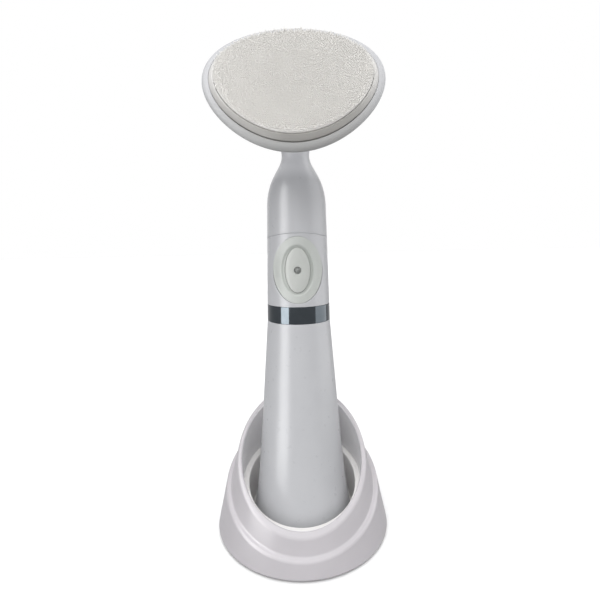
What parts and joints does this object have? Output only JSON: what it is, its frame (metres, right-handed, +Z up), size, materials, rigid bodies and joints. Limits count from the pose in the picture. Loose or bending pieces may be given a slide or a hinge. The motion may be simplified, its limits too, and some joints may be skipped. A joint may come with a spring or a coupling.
{
  "type": "facial cleansing brush",
  "caption": "Battery facial cleansing brush with a vibrating oval bristle head, standing upright in a round two-tier stand with a slanted rim.",
  "frame": {"origin": "centre of the stand's footprint, on the table", "axes": "+Z up along the handle's axis, -Y towards the user, where the button and the brush face look, +X to the user's right when facing the button"},
  "size_m": [0.0608, 0.0608, 0.1635],
  "materials": {
    "stand_plastic": "satin white plastic",
    "foot_rubber": "grey rubber",
    "screw_steel": "zinc-plated steel",
    "seal_rubber": "black rubber",
    "inner_plastic": "moulded grey plastic",
    "contact_metal": "nickel-plated brass",
    "housing_plastic": "pearl white gloss plastic",
    "trim_chrome": "polished chrome plating",
    "cell_jacket": "printed film jacket, left plain",
    "lead_insulation": "wire insulation",
    "board": "green solder mask",
    "board_parts": "black component bodies",
    "led_lens": "diffuse lens",
    "button_soft": "soft translucent grey elastomer",
    "lens_smoke": "smoked lens",
    "bezel_plastic": "milky translucent plastic",
    "bristle_fibre": "dense fine cream bristles",
    "motor_steel": "drawn steel"
  },
  "bodies": {
    "stand": {"stand_shell": "stand_plastic", "stand_cup": "stand_plastic", "stand_base_plate": "stand_plastic", "stand_feet": "foot_rubber", "stand_screws": "screw_steel"},
    "battery_door": {"battery_cap": "stand_plastic", "cap_seal": "seal_rubber"},
    "contacts": {"contact_plate": "inner_plastic", "bridge_contact": "contact_metal", "bridge_spring": "contact_metal"},
    "handle": {"lower_housing": "housing_plastic", "chrome_ring": "trim_chrome", "button_housing": "housing_plastic", "upper_housing": "housing_plastic", "core_tube": "inner_plastic", "joint_seal": "seal_rubber", "battery_carrier": "inner_plastic", "battery_left": "cell_jacket", "battery_right": "cell_jacket", "terminal_tab": "contact_metal", "terminal_spring": "contact_metal", "battery_leads": "lead_insulation", "pcb": "board", "pcb_parts": "board_parts", "pcb_screws": "screw_steel", "switch_body": "board_parts", "status_led": "led_lens", "motor_leads": "lead_insulation", "button_surround": "button_soft", "brush_bezel": "bezel_plastic", "plate_gasket": "seal_rubber"},
    "button": {"button_cap": "button_soft", "light_pipe": "lens_smoke"},
    "plunger": {"switch_plunger": "inner_plastic"},
    "brush": {"brush_plate": "bezel_plastic", "bristle_pad": "bristle_fibre", "motor_can": "motor_steel", "motor_clip": "seal_rubber"},
    "rotor": {"motor_shaft": "screw_steel", "eccentric_weight": "motor_steel"}
  },
  "joints": [
    {"name": "lift_from_stand", "type": "slide", "parent": "stand", "child": "battery_door", "axis": [0, 0, 1], "range_m": [0, 0.06]},
    {"name": "battery_door_twist", "type": "hinge", "parent": "battery_door", "child": "contacts", "pos_m": [0, 0, 0], "axis": [0, 0, 1], "range_deg": [0, 20]},
    {"name": "battery_door_pull", "type": "slide", "parent": "contacts", "child": "handle", "axis": [0, 0, 1], "range_m": [0, 0.03]},
    {"name": "power_button", "type": "slide", "parent": "handle", "child": "button", "axis": [0, 1, 0], "range_m": [0, 0.0004], "stiffness_N_per_m": 2500},
    {"name": "switch_travel", "type": "slide", "parent": "handle", "child": "plunger", "axis": [0, 1, 0], "range_m": [0, 0.0004]},
    {"name": "brush_vibration", "type": "slide", "parent": "handle", "child": "brush", "axis": [0, -0.9063, 0.4226], "range_m": [-0.0003, 0.0003], "stiffness_N_per_m": 3000},
    {"name": "rotor_spin", "type": "hinge", "parent": "brush", "child": "rotor", "pos_m": [0, -0.00949, 0.14309], "axis": [1, 0, 0], "continuous": true}
  ],
  "couplings": [
    {"joint": "switch_travel", "follows": "power_button", "ratio": 1}
  ]
}
